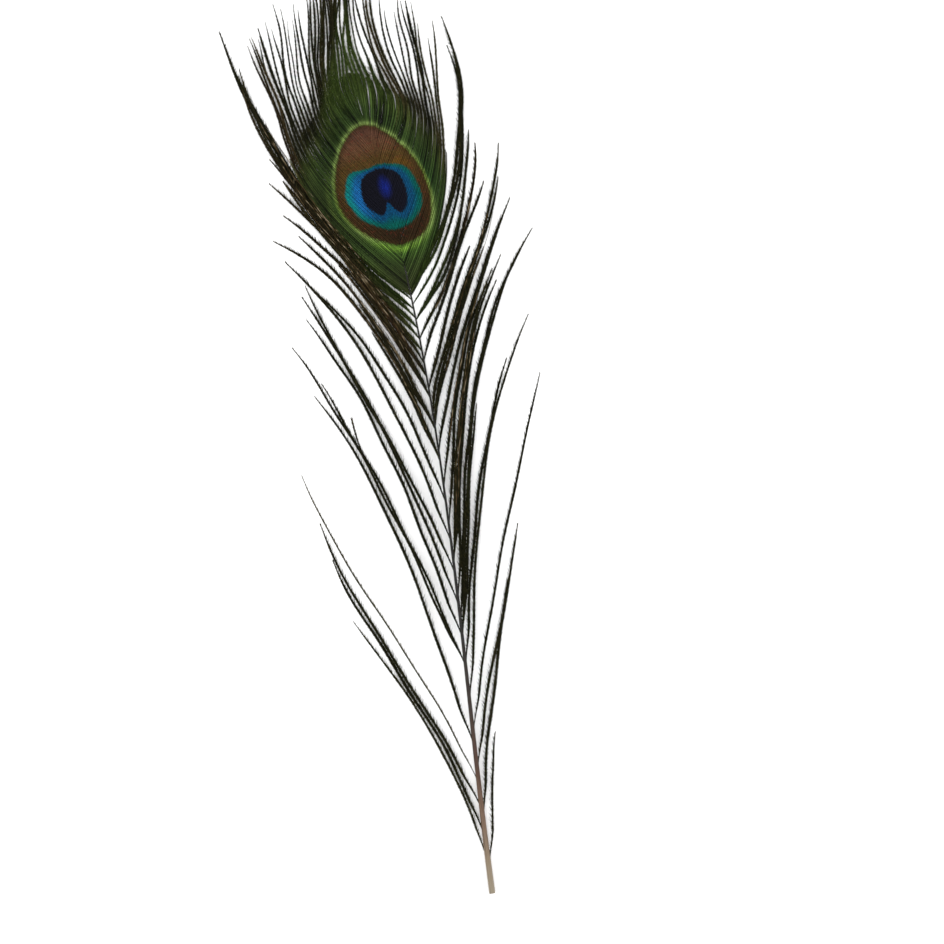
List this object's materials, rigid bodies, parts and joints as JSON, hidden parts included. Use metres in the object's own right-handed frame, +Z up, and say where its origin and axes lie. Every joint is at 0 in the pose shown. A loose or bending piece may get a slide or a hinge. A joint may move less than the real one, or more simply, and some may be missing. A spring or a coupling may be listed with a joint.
{
  "type": "peacock feather",
  "caption": "Peacock tail feather lying flat, good side up: a slender bowed shaft, loose locks of dark barbs on both sides, and a knit eye with a fringe beyond it.",
  "frame": {"origin": "on the surface the feather lies on, under the middle of its length and width", "axes": "+Y from the quill's cut end towards the eye, +X to the right seen from above with the eye at the far end, +Z up from the surface, out of the feather's good side"},
  "size_m": [0.0884, 0.301, 0.0045],
  "materials": {
    "quill horn": "smooth horn, pale at the cut end and dark brown above it",
    "eye vane": "knit barbs with a soft metallic sheen",
    "herl": "loose dark barbs with a faint sheen"
  },
  "bodies": {
    "root": {"shaft": "quill horn", "eye_vane_left": "eye vane", "eye_vane_right": "eye vane", "lock_left_01": "herl", "lock_left_02": "herl", "lock_left_03": "herl", "lock_left_04": "herl", "lock_left_05": "herl", "lock_left_06": "herl", "lock_left_07": "herl", "lock_left_08": "herl", "lock_left_09": "herl", "lock_left_10": "herl", "lock_left_11": "herl", "lock_left_12": "herl", "lock_left_13": "herl", "lock_left_14": "herl", "lock_left_15": "herl", "lock_left_16": "herl", "lock_left_17": "herl", "lock_left_18": "herl", "lock_right_01": "herl", "lock_right_02": "herl", "lock_right_03": "herl", "lock_right_04": "herl", "lock_right_05": "herl", "lock_right_06": "herl", "lock_right_07": "herl", "lock_right_08": "herl", "lock_right_09": "herl", "lock_right_10": "herl", "lock_right_11": "herl", "lock_right_12": "herl", "lock_right_13": "herl", "lock_right_14": "herl", "lock_right_15": "herl", "lock_right_16": "herl", "lock_right_17": "herl", "lock_right_18": "herl", "lock_right_19": "herl", "lock_crown_01": "herl", "lock_crown_02": "herl", "lock_crown_03": "herl", "lock_crown_04": "herl", "lock_crown_05": "herl", "lock_crown_06": "herl", "lock_crown_07": "herl", "lock_crown_08": "herl", "lock_crown_09": "herl", "lock_crown_10": "herl", "lock_crown_11": "herl", "lock_crown_12": "herl", "lock_crown_13": "herl", "lock_crown_14": "herl", "lock_crown_15": "herl", "lock_crown_16": "herl", "lock_crown_17": "herl", "lock_crown_18": "herl"}
  },
  "joints": []
}
